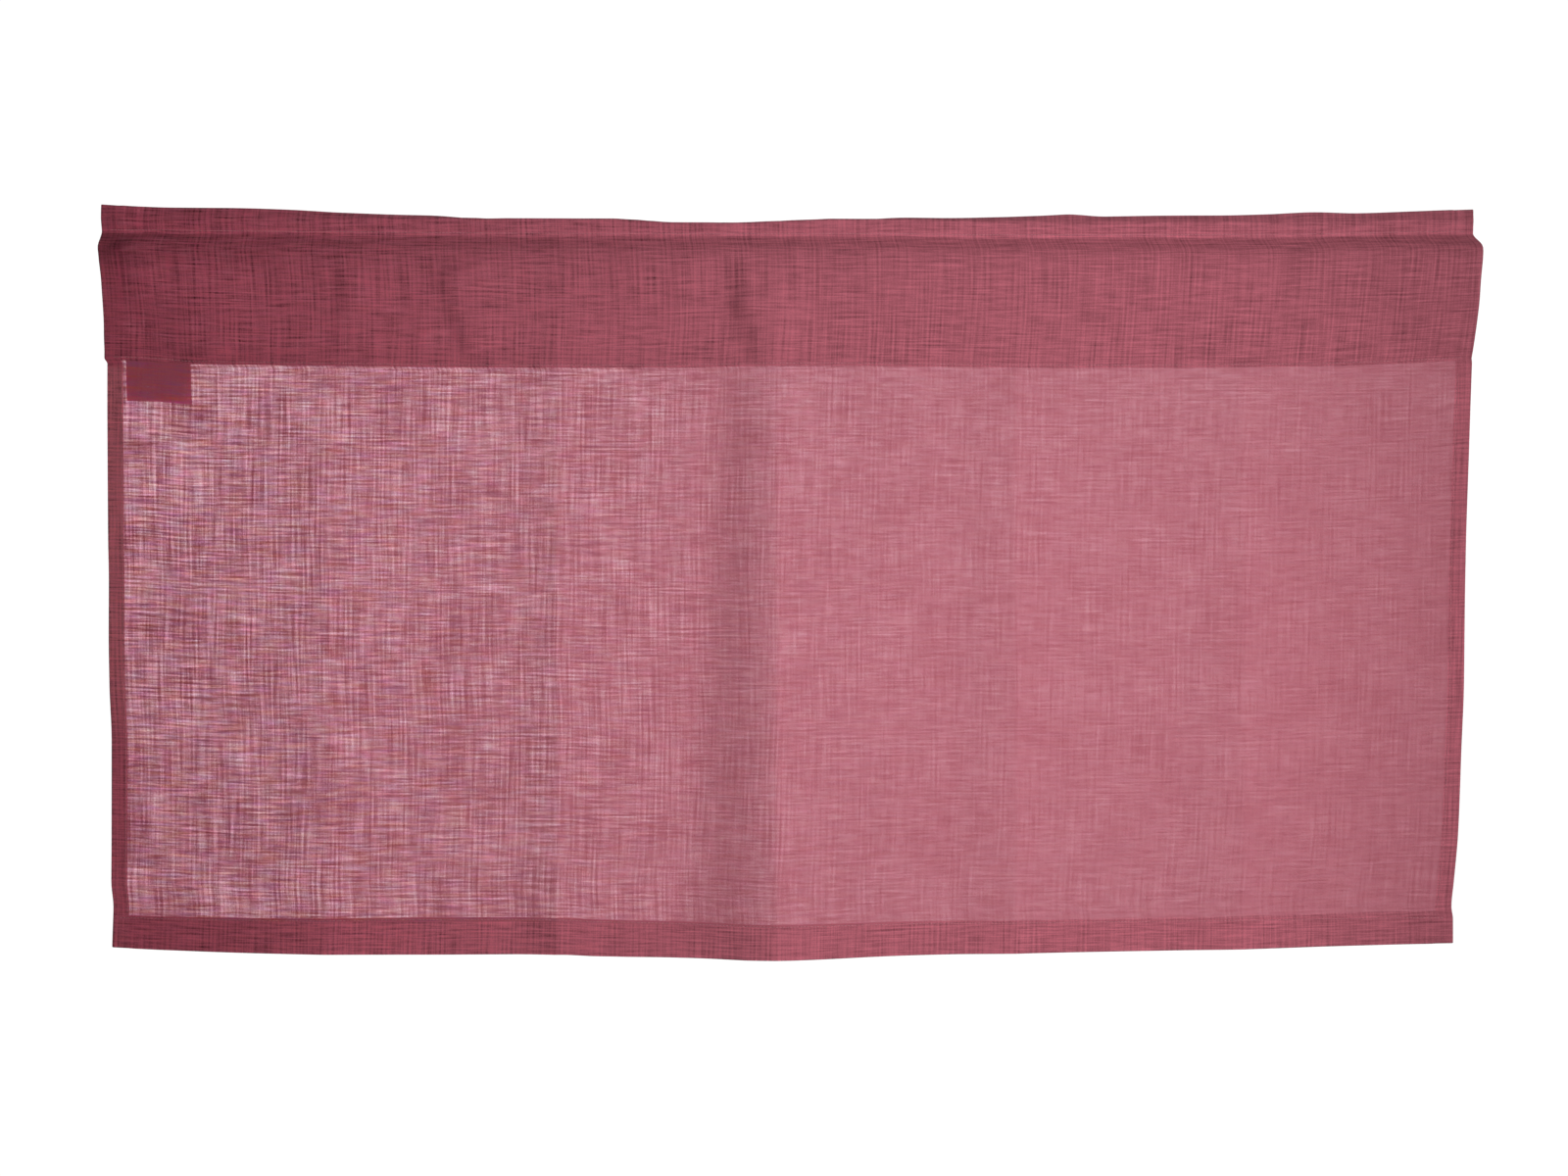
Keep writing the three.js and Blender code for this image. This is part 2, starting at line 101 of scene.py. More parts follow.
# ------------------------------------------------------------------ sizes that only the looks have
PLY = 0.34  # from one layer of cloth to the next where they lie together
TURN_UNDER = 15.0  # raw edge turned in under the pocket's lower stitch line
PANEL_FLAT, POCKET_FLAT = 515.0, 119.0  # lengths of cloth between the hem's fold, the two stitch lines
STITCH, STITCH_GAP, THREAD = 2.5, 0.5, 0.22
CREASES = [  # sharp pressed line on each fold: x, height, width on its left, width on its right
    (-400, 0.6, 9, 14), (-199, 1.2, 8, 16), (-6, 0.5, 14, 26), (203, 0.6, 9, 14), (403, 0.4, 9, 14),
]
HEM_CREASES = [(-199, 0.5, 5, 18), (-138, 1.0, 9, 22), (-90, 1.3, 11, 24), (-33, 1.2, 14, 18), (6, 1.2, 10, 24)]  # as above
PRESSED = [  # share of the width, openness of the weave there
    (0.290, 1.0), (0.313, 0.97), (0.328, 1.0), (0.425, 1.0), (0.464, 0.63), (0.500, 1.03), (0.56, 1.0),
]
LEVEL_CREASES = [(-288, 0.25, 9), (-435, 0.3, 9)]  # faint level creases: z, height, width


def curve(rows, column=1):
    """Smooth curve through one column of a table, without overshoot between its rows."""
    at = np.array([r[0] for r in rows], float)
    to = np.array([r[column] for r in rows], float)
    step = np.diff(at)
    slope = np.diff(to) / step
    a, b = slope[:-1], slope[1:]
    same = a * b > 0
    tangent = np.concatenate([[slope[0]], np.where(same, 2 * a * b / np.where(same, a + b, 1), 0), [slope[-1]]])

    def value(x):
        x = np.clip(np.asarray(x, float), at[0], at[-1])
        i = np.clip(np.searchsorted(at, x, side="right") - 1, 0, len(at) - 2)
        t = (x - at[i]) / step[i]
        return (
            (2 * t**3 - 3 * t**2 + 1) * to[i]
            + (t**3 - 2 * t**2 + t) * step[i] * tangent[i]
            + (3 * t**2 - 2 * t**3) * to[i + 1]
            + (t**3 - t**2) * step[i] * tangent[i + 1]
        )

    return value


def ease(t):
    t = np.clip(t, 0, 1)
    return t * t * (3 - 2 * t)


def mix(a, b, t):
    return a + (b - a) * t


def uneven(seed, wide, high):
    """Smooth random unevenness from -1 to 1 over the cloth, with humps about this wide and high."""
    table = np.random.default_rng(seed).uniform(-1, 1, (97, 97))

    def value(x, z):
        a, b = (np.asarray(x, float) + 5000) / wide, (np.asarray(z, float) + 5000) / high
        i, j = np.floor(a).astype(int), np.floor(b).astype(int)
        s, t = ease(a - i), ease(b - j)
        i, j, k, m = i % 97, j % 97, (i + 1) % 97, (j + 1) % 97
        return mix(mix(table[i, j], table[k, j], s), mix(table[i, m], table[k, m], s), t)

    return value


seam_z = curve(UPPER_SEAM)
frill_width, frill_lean = curve(FRILL, 1), curve(FRILL, 2)
pocket_z, pocket_front, pocket_back = curve(POCKET, 1), curve(POCKET, 2), curve(POCKET, 3)
pocket_spread = curve(POCKET_PROFILE)
heading_left, heading_right = curve(HEADING_ENDS, 1), curve(HEADING_ENDS, 2)
panel_left, panel_right = curve(PANEL_SIDES, 1), curve(PANEL_SIDES, 2)
bottom_z, hem_height = curve(BOTTOM, 1), curve(BOTTOM, 2)
fold_share = curve(FOLD_SHARE)
broad, small, fine = uneven(11, 95, 140), uneven(12, 34, 47), uneven(13, 13, 19)
pucker = uneven(14, 7.5, 40)


def folds(x, z):
    """How far the hanging cloth stands forward of the stitch line's plane in its main folds."""
    out = np.zeros(np.broadcast(x, z).shape)
    for at, rise, front, back, broader in CRESTS:
        d = x - at
        front = front * (1 + broader * (-z - 350) / 250)
        out = out + rise * np.where(d <= 0, ease((d + front) / front), (1 - np.clip(d / back, 0, 1)) ** 2)
    for length, shift, swing in WAVES:
        out = out + swing * np.sin(2 * math.pi * (x - shift) / length)
    return out * fold_share(z)


def stand(x, z):
    """The same, with the pressed creases and the small unevenness of real cloth."""
    out = folds(x, z)
    low = ease((-z - 40) / 120)  # the stitched heading holds the cloth flat
    for at, height, left, right in CREASES:
        d = x - at - 1.5 * np.sin(z / 71.0 + at)
        out = out + height * np.where(d <= 0, np.exp(d / left), np.exp(-d / right)) * (0.25 + 0.75 * low)
    for at, height, width in LEVEL_CREASES:
        d = np.abs(z - at - 2.0 * np.sin(x / 93.0))
        out = out + height * np.exp(-d / width) * ease((x + 250) / 300)
    out = out + low * (0.7 * broad(x, z) + 0.22 * small(x, z)) + 0.05 * fine(x, z)
    hem = bottom_z(x) + hem_height(x)
    for at, height, left, right in HEM_CREASES:
        d = x - at
        out = out + height * np.where(d <= 0, np.exp(d / left), np.exp(-d / right)) * ease((hem + 12 - z) / 24)
    near_hem = np.exp(-(((z - hem) / 11.0) ** 2))
    near_seam = np.exp(-(((z - pocket_z(x)) / 9.0) ** 2))
    return out + 0.16 * (near_hem + near_seam) * pucker(x, z)


def slack(x, z):
    """How far the pocket's loose face stands forward of its plain shape."""
    out = np.zeros(np.broadcast(x, z).shape)
    for table, sign in ((POCKET_SLACK, 1), (POCKET_SLACK_RIGHT, -1)):
        for x1, z1, x2, z2, rise, before, after, fade in table:
            dx, dz = x2 - x1, z2 - z1
            length = math.hypot(dx, dz)
            run = ((x - x1) * dx + (z - z1) * dz) / length  # along the line, from its upper end
            d = sign * ((z - z1) * dx - (x - x1) * dz) / length  # across it
            share = ease((run + fade) / fade) * ease((length + fade - run) / fade)
            rest = 1 - np.clip((d + before) / before, 0, 1)
            out = out + rise * share * np.where(d <= 0, mix(ease(1 - rest), 1 - rest**2, 0.6), 1 - ease(d / after))
    return out


def frill_at(x, t):
    """Middle of the frill from the upper stitch line (t = 0) to its fold (t = 1), and its lean there. It stands nearly upright,
    then curls back over a bend, as far as leaves it as high, seen from the front, as if it leaned evenly by the table's angle."""
    even = np.radians(frill_lean(x))
    whole = frill_width(x)
    last = np.clip(2 * even, math.radians(1), math.radians(96))
    curled = np.clip(last / math.radians(90), 0, 1)
    seen = seam_z(x) + NECK + (whole - NECK) * np.cos(even) + EYE_DROP
    seen = seen * (EYE + 2.0 * curled) / (EYE + (whole - NECK) * np.sin(even))
    high = seen - EYE_DROP - seam_z(x) - 1.1 * curled
    first = -0.03 * last
    arc = CURL * (last - first)
    beyond = ((whole - arc) * np.cos(first) - high + CURL * (np.sin(last) - np.sin(first))) / (np.cos(first) - np.cos(last))
    beyond = np.clip(beyond, 0, 0.5 * whole)
    straight = whole - arc - beyond
    s = t * whole
    lean = first + (last - first) * np.clip((s - straight) / arc, 0, 1)
    up = np.minimum(s, straight)
    over = np.clip(s - straight - arc, 0, None)
    y = up * np.sin(first) + CURL * (np.cos(first) - np.cos(lean)) + over * np.sin(last)
    z = up * np.cos(first) + CURL * (np.sin(lean) - np.sin(first)) + over * np.cos(last)
    return y, seam_z(x) + z, lean


# The top edge is the highest line of the frill.
_, top_z, _ = frill_at(np.zeros(1001), np.linspace(0, 1, 1001))
top_y = frill_at(np.zeros(1001), np.linspace(0, 1, 1001))[0]
TOP = -np.array([0.0, float(top_y[np.argmax(top_z)]), float(top_z.max())])


def to_frame(points):
    """Points in the sewing frame, in millimetres, to the row frame, in metres."""
    return (np.asarray(points, float) + TOP) * MM


# ------------------------------------------------------------------ camera
camera = bpy.data.objects.new("camera", bpy.data.cameras.new("camera"))
scene.collection.objects.link(camera)
camera.data.lens, camera.data.sensor_width = 50.0, 36.0
camera.data.clip_start, camera.data.clip_end = 0.05, 200.0
camera.location = to_frame([0.0, -EYE, -EYE_DROP])
camera.rotation_euler = (math.radians(90), 0, 0)
scene.camera = camera


# ------------------------------------------------------------------ meshes
def mesh_object(name, points, faces, flat=None, smooth=True):
    mesh = bpy.data.meshes.new(name)
    mesh.from_pydata([tuple(p) for p in points.tolist()], [], faces)
    mesh.update()
    if smooth:
        mesh.polygons.foreach_set("use_smooth", [True] * len(mesh.polygons))
    if flat is not None:
        attribute = mesh.attributes.new("flat", "FLOAT_VECTOR", "POINT")
        attribute.data.foreach_set("vector", np.asarray(flat, np.float32).ravel())
    made = bpy.data.objects.new(name, mesh)
    scene.collection.objects.link(made)
    return made


def grid_faces(rows, columns):
    i, j = np.meshgrid(np.arange(rows - 1), np.arange(columns - 1), indexing="ij")
    a = (i * columns + j).ravel()
    return np.stack([a, a + 1, a + columns + 1, a + columns], 1).tolist()


# Columns: where each stands across the width, on which layer of the side hem, and where in the flat cloth.
ZONE = 19.0
insets = [0.0, 0.4, 2.0, 4.5, 7.0, 9.5, 11.6, 12.6, 13.4, 14.0, 14.6, 15.6, 17.2, 19.0]
ref_left, ref_right = -593.4, 602.9
inner_places = [ref_left + ZONE]
while inner_places[-1] < ref_right - ZONE:
    near = min(abs(inner_places[-1] - c[0]) for c in CRESTS)
    inner_places.append(inner_places[-1] + (2.4 if near < 26 else 4.3))
inner = np.array(inner_places[:-1])
inner_share = (inner - inner[0]) / (ref_right - ZONE - inner[0])
columns = []  # side (-1 left, 0 inner, 1 right), inset or share, layer, flat
edge_layers = (
    [(i, 1.0, -2 * SIDE_HEM + i) for i in (1.2, 4.0, 7.0, 10.0, 12.2, 13.3)]
    + [(13.75, 1.5, -SIDE_HEM)]
    + [(i, 2.0, -i) for i in (13.3, 12.2, 10.0, 7.0, 4.0, 1.6, 0.3)]
    + [(-0.12, 1.0, 0.0)]
    + [(i, 0.0, i) for i in insets[1:-1]]
)
for inset, layer, flat in edge_layers:
    columns.append((-1, inset, layer, ref_left + flat))
for share, place in zip(inner_share, inner):
    columns.append((0, share, 0.0, place))
for inset, layer, flat in [(ZONE, 0.0, ZONE)] + edge_layers[::-1]:
    columns.append((1, inset, layer, ref_right - flat))
side = np.array([c[0] for c in columns])
where = np.array([c[1] for c in columns])
layer = np.array([c[2] for c in columns])
flat_x = np.array([c[3] for c in columns])
from_edge = np.where(side == 0, ZONE, np.maximum(where, 0))


def across(left, right):
    """Place across the width of every column, between these side edges."""
    return np.where(side < 0, left + where, np.where(side > 0, right - where, mix(left + ZONE, right - ZONE, where)))


# In the side hems each layer of a fold is itself three layers thick, so there the layers stand further apart.
hem_zone = 1 - ease((from_edge - SIDE_HEM) / (ZONE - SIDE_HEM))
middle_ply = PLY * mix(1.0, 3.0, hem_zone)
back_ply = PLY * mix(2.0, 8.0, hem_zone)
frill_ply = PLY * mix(1.0, 5.0, hem_zone)
nominal = across(ref_left, ref_right)
panel_share = (nominal - ref_left) / (ref_right - ref_left)
low_x = mix(BOTTOM[0][0], BOTTOM[-1][0], panel_share)
rows = []  # each row: x, y, z, angle of the cloth's wrong side from +Y towards +Z, flat length


def panel_row(z, y_ply, angle, flat, wobble=True):
    x = across(panel_left(z), panel_right(z))
    rows.append((x, y_ply - (stand(x, z) if wobble else folds(x, z)), z, np.zeros_like(x) + math.radians(angle), flat + 0 * x))


def heading_x(up):
    return across(heading_left(up), heading_right(up))


bottom = bottom_z(low_x)
hem = hem_height(low_x)
for share in (0.06, 0.28, 0.5, 0.72, 0.9, 0.975):  # the hem's turned-in layer, going up
    panel_row(bottom + share * hem, middle_ply, 0, -(2 - share) * hem)
panel_row(bottom + hem + 0.1, (middle_ply + back_ply) / 2, -90, -hem)
for share in (0.975, 0.9, 0.72, 0.5, 0.28, 0.1):  # its back layer, going down
    panel_row(bottom + share * hem, back_ply, 180, -share * hem)
panel_row(bottom + 0.35, back_ply * 0.92, 150, 0.35 + 0 * hem)
panel_row(bottom - 0.15, back_ply / 2, 90, 0 * hem)
panel_row(bottom + 0.35, back_ply * 0.08, 30, 0.35 + 0 * hem)
for share in (0.1, 0.28, 0.5, 0.72, 0.86, 0.93, 0.97, 1.0, 1.04, 1.1):  # the face, going up
    panel_row(bottom + share * hem, 0 * hem, 0, share * hem)
seam_low = pocket_z(nominal)
start = bottom + 1.1 * hem
steps = 104
for k in range(1, steps + 1):
    t = k / (steps + 1)
    z = mix(start, seam_low - 4.0, t)
    panel_row(z, 0 * z, 0, mix(1.1 * hem, PANEL_FLAT - 4.0, t))


def edge_at_seam(z, up, side_edges, heading_edge):
    """Side edges go from the panel's to the heading's within a few millimetres of the lower stitch line."""
    return mix(side_edges(z), heading_edge(np.zeros_like(z) + up), ease((z - (pocket_z(nominal) - 4.0)) / 5.0))


def front_row(z, up, flat):
    left, right = edge_at_seam(z, up, panel_left, heading_left), edge_at_seam(z, up, panel_right, heading_right)
    x = across(left, right)
    reach = pocket_front(x) * pocket_spread(up)
    loose = ease(min(up, 1 - up) / 0.07) if up > 0 else 0.0
    y = -reach - stand(x, z) - loose * (slack(x, z) - 0.9)
    rows.append((x, y, z, np.zeros_like(x), flat + 0 * x))


for dz in (-4.0, -2.6, -1.4, -0.6, 0.0, 0.8):
    front_row(seam_low + dz, 0.0, PANEL_FLAT + dz)
UPS = [0.015, 0.03, 0.05, 0.075, 0.105, 0.14, 0.18, 0.225, 0.27, 0.315, 0.36, 0.405, 0.45, 0.495, 0.54, 0.585, 0.63,
       0.67, 0.71, 0.745, 0.78, 0.81, 0.84, 0.87, 0.895, 0.915, 0.935, 0.955, 0.97, 0.982, 0.992, 1.0]
for up in UPS:
    front_row(mix(seam_low + 0.8, seam_z(nominal), up), up, PANEL_FLAT + up * POCKET_FLAT)


def frill_row(t, which, flat, fold=False):
    x = heading_x(1 + t)
    y, z, lean = frill_at(x, t)
    puff = 0.65 * math.sin(math.pi * min(1.0, t * 0.97)) ** 0.6 + 0.12 * pucker(x, z) * (1 - t)
    out = np.where(which > 0, frill_ply + puff, -puff) if not fold else frill_ply / 2
    wave = 0.5 * t * broad(x * 1.7, z * 0.2)
    y, z = y + (out + wave) * np.cos(lean), z - (out + wave) * np.sin(lean)
    if fold:
        y, z = y + 0.25 * np.sin(lean), z + 0.25 * np.cos(lean)
    angle = -lean + (0 if which < 0 else math.pi) if not fold else -lean - math.pi / 2
    rows.append((x, y, z, angle, flat + 0 * x))


FRILL_TS = [0.03, 0.08, 0.15, 0.23, 0.31, 0.39, 0.46, 0.52, 0.57, 0.62, 0.67, 0.72, 0.78, 0.84, 0.9, 0.95, 0.985]
HEADING_FLAT = PANEL_FLAT + POCKET_FLAT
for t in FRILL_TS:
    frill_row(t, -1, HEADING_FLAT + 23 * t)
frill_row(1.0, 0, HEADING_FLAT + 23, fold=True)
for t in reversed(FRILL_TS):
    frill_row(t, 1, HEADING_FLAT + 46 - 23 * t)


def back_row(up, z, ply, angle, flat):
    x = heading_x(max(up, 0.0))
    reach = pocket_back(x) * pocket_spread(max(up, 0.0))
    slack = 0.5 * small(x * 0.8, z) * np.minimum(1.0, reach / 4)
    y = reach + slack + ply - folds(x, z) + 0.14 * pucker(x, z) * math.exp(-abs(up) * 14)
    rows.append((x, y, z, np.zeros_like(x) + math.radians(angle), flat + 0 * x))


BACK_UPS = [1.0, 0.985, 0.965, 0.94, 0.91, 0.88, 0.84, 0.8, 0.75, 0.7, 0.65, 0.6, 0.55, 0.5, 0.45, 0.4, 0.35, 0.3, 0.25,
            0.2, 0.16, 0.12, 0.09, 0.06, 0.035, 0.015]
for up in BACK_UPS:
    back_row(up, mix(seam_low + 0.8, seam_z(nominal), up), mix(back_ply, frill_ply, up), 180, HEADING_FLAT + 46 + (1 - up) * POCKET_FLAT)
END_FLAT = HEADING_FLAT + 46 + POCKET_FLAT
back_row(0.0, seam_low + 0.2, back_ply, 180, END_FLAT)
back_row(0.0, seam_low - 0.3, (back_ply + middle_ply) / 2, 90, END_FLAT + 0.5)
for k in range(0, 8):
    rise = 0.2 + k * TURN_UNDER / 7
    up = max(0.0, (rise - 0.8) / 112)
    back_row(up, seam_low + rise, middle_ply * mix(1, 1.0, up), 0, END_FLAT + 1 + rise)

X = np.array([r[0] for r in rows])
Y = np.array([r[1] for r in rows])
Z = np.array([r[2] for r in rows])
A = np.array([r[3] for r in rows])
V = np.array([r[4] for r in rows])
Y = Y + layer * PLY * np.cos(A)
Z = Z + layer * PLY * np.sin(A)
U = np.broadcast_to(flat_x, X.shape)
points = to_frame(np.stack([X, Y, Z], -1).reshape(-1, 3))
flat = np.stack([U, V, 0 * U], -1).reshape(-1, 3)
curtain = mesh_object("curtain_cloth", points, grid_faces(*X.shape), flat)

# ------------------------------------------------------------------ care label: a bare tape sewn in under the pocket
u, v = np.meshgrid(np.linspace(0, 1, 29), np.linspace(-0.06, 1, 20))
x = LABEL["left"] + u * LABEL["width"]
vv = np.clip(v, 0, 1)
z = pocket_z(x) - 0.3 - v * (LABEL["height"] + (u - 0.5) * LABEL["slope"])
y = -stand(x, z) + 0.9 + LABEL["curl"] * vv * vv * (0.55 + 0.45 * u) + 0.25 * np.sin(5 * u + 2) * vv
label = mesh_object(
    "care_label_tape", to_frame(np.stack([x, y, z], -1).reshape(-1, 3)), grid_faces(*x.shape), np.stack([x, z, 0 * x], -1).reshape(-1, 3)
)


# ------------------------------------------------------------------ stitches
def stitch_line(path, normal, seed):
    """Small stitches along a path of points, bedded in the side of the cloth that this normal points out of."""
    random = np.random.default_rng(seed)
    path = np.asarray(path, float)
    run = np.concatenate([[0], np.cumsum(np.linalg.norm(np.diff(path, axis=0), axis=1))])
    at = np.arange(1.0, run[-1] - STITCH - 1.0, STITCH + STITCH_GAP)
    at = at + random.uniform(-0.12, 0.12, len(at))
    stations = ((0.0, -0.16), (0.16, 0.1), (0.84, 0.1), (1.0, -0.16))
    centre = np.stack([np.stack([np.interp(at + s * STITCH, run, path[:, k]) for k in range(3)], 1) + np.array(normal) * h for s, h in stations], 1)
    along_it = centre[:, 3] - centre[:, 0]
    along_it /= np.linalg.norm(along_it, axis=1)[:, None]
    n = np.array(normal, float)
    b = np.cross(along_it, n)
    b /= np.linalg.norm(b, axis=1)[:, None]
    ring = np.arange(6) * math.pi / 3
    girth = np.array([0.6, 1.0, 1.0, 0.6])[None, :, None, None] * THREAD
    off = girth * (np.cos(ring)[None, None, :, None] * b[:, None, None, :] + np.sin(ring)[None, None, :, None] * n[None, None, None, :] * 0.8)
    made = (centre[:, :, None, :] + off).reshape(-1, 3)
    faces = []
    for k in range(len(at)):
        o = k * 24
        for s in range(3):
            for r in range(6):
                q = (r + 1) % 6
                faces.append([o + s * 6 + r, o + s * 6 + q, o + s * 6 + 6 + q, o + s * 6 + 6 + r])
        faces.append([o + r for r in range(5, -1, -1)])
        faces.append([o + 18 + r for r in range(6)])
    return made, faces


def on_front(x, z, up=None):
    y = -stand(x, z) - 0.06
    if up is not None:
        reach = pocket_front(x) * pocket_spread(up)
        y = y - reach
    return np.stack([x, y, z], -1)


lines = []
xs = np.linspace(-592, 599, 500)
lines.append((np.stack([xs, -0.42 + 0 * xs, seam_z(xs) + 1.5], -1), (0, -1, 0)))
lines.append((np.stack([xs, 0 * xs + 0.06 + PLY * 1.2, seam_z(xs)], -1), (0, 1, 0)))
xs = np.linspace(-590, 596, 500)
lines.append((on_front(xs, pocket_z(xs) + 2.0, 0.011), (0, -1, 0)))
lines.append((np.stack([xs, pocket_back(xs) * pocket_spread(0.011) + 2 * PLY + 0.06 - folds(xs, pocket_z(xs)), pocket_z(xs) + 2.0], -1), (0, 1, 0)))
share = np.linspace(0.004, 0.996, 500)
lx = mix(BOTTOM[0][0], BOTTOM[-1][0], share)
hz = bottom_z(lx) + hem_height(lx) - 1.8
hx = mix(panel_left(hz), panel_right(hz), share)
lines.append((on_front(hx, hz), (0, -1, 0)))
lines.append((np.stack([hx, -stand(hx, hz) + 2 * PLY + 0.06, hz], -1), (0, 1, 0)))
for sign in (-1, 1):
    z = np.linspace(float(bottom_z(sign * 580.0)) + 30, -118.0, 300)
    x = (panel_left(z) + SIDE_HEM - 1.6) if sign < 0 else (panel_right(z) - SIDE_HEM + 1.6)
    lines.append((on_front(x, z), (0, -1, 0)))
    lines.append((np.stack([x, -stand(x, z) + 2 * PLY + 0.06, z], -1), (0, 1, 0)))
all_points, all_faces, count = [], [], 0
for number, (path, normal) in enumerate(lines):
    made, faces = stitch_line(path, normal, 40 + number)
    all_points.append(made)
    all_faces += [[i + count for i in f] for f in faces]
    count += len(made)
stitching = mesh_object("stitching", to_frame(np.concatenate(all_points)), all_faces)


# ------------------------------------------------------------------ materials
class Nodes:
    """A node tree under construction, with arithmetic on its sockets."""

    def __init__(self, tree):
        self.tree = tree
        tree.nodes.clear()

    def add(self, kind, **settings):
        node = self.tree.nodes.new(kind)
        for key, value in settings.items():
            setattr(node, key, value)
        return node

    def plug(self, value, socket):
        if isinstance(value, bpy.types.NodeSocket):
            self.tree.links.new(value, socket)
        else:
            socket.default_value = value

    def math(self, operation, a, b=0.0, c=0.0, clamp=False):
        node = self.add("ShaderNodeMath", operation=operation, use_clamp=clamp)
        for value, socket in zip((a, b, c), node.inputs):
            self.plug(value, socket)
        return node.outputs[0]

    def plus(self, a, b):
        return self.math("ADD", a, b)

    def times(self, a, b):
        return self.math("MULTIPLY", a, b)

    def combine(self, x, y):
        node = self.add("ShaderNodeCombineXYZ")
        self.plug(x, node.inputs[0])
        self.plug(y, node.inputs[1])
        return node.outputs[0]

    def combine_grey(self, value):
        node = self.add("ShaderNodeCombineColor")
        for socket in node.inputs:
            self.plug(value, socket)
        return node.outputs[0]

    def noise(self, x, y, detail=0.0, shift=0.0, roughness=0.5):
        """Noise centred on 0, in humps one unit of x by one unit of y."""
        node = self.add("ShaderNodeTexNoise", noise_dimensions="2D")
        self.plug(self.combine(self.plus(x, shift), self.plus(y, shift * 1.7)), node.inputs["Vector"])
        node.inputs["Scale"].default_value = 1.0
        node.inputs["Detail"].default_value = detail
        node.inputs["Roughness"].default_value = roughness
        return self.math("SUBTRACT", node.outputs["Fac"], 0.5)

    def ramp(self, value, *stops, interpolation="LINEAR"):
        node = self.add("ShaderNodeValToRGB")
        self.plug(value, node.inputs[0])
        ramp = node.color_ramp
        ramp.interpolation = interpolation
        while len(ramp.elements) < len(stops):
            ramp.elements.new(0.5)
        for element, (position, colour) in zip(ramp.elements, stops):
            element.position = position
            element.color = (*colour, 1.0) if len(colour) == 3 else colour
        return node.outputs["Color"]

    def steps(self, value, low, high, to_low=0.0, to_high=1.0):
        node = self.add("ShaderNodeMapRange", interpolation_type="SMOOTHSTEP")
        self.plug(value, node.inputs["Value"])
        for key, number in (("From Min", low), ("From Max", high), ("To Min", to_low), ("To Max", to_high)):
            node.inputs[key].default_value = number
        return node.outputs["Result"]

    def blend_colour(self, share, a, b, mode="MIX"):
        node = self.add("ShaderNodeMix", data_type="RGBA", blend_type=mode)
        self.plug(share, node.inputs[0])
        for value, socket in ((a, node.inputs[6]), (b, node.inputs[7])):
            self.plug((*value, 1.0) if isinstance(value, tuple) and len(value) == 3 else value, socket)
        return node.outputs[2]


def new_material(name):
    material = bpy.data.materials.new(name)
    material.use_nodes = True
    return material, Nodes(material.node_tree)


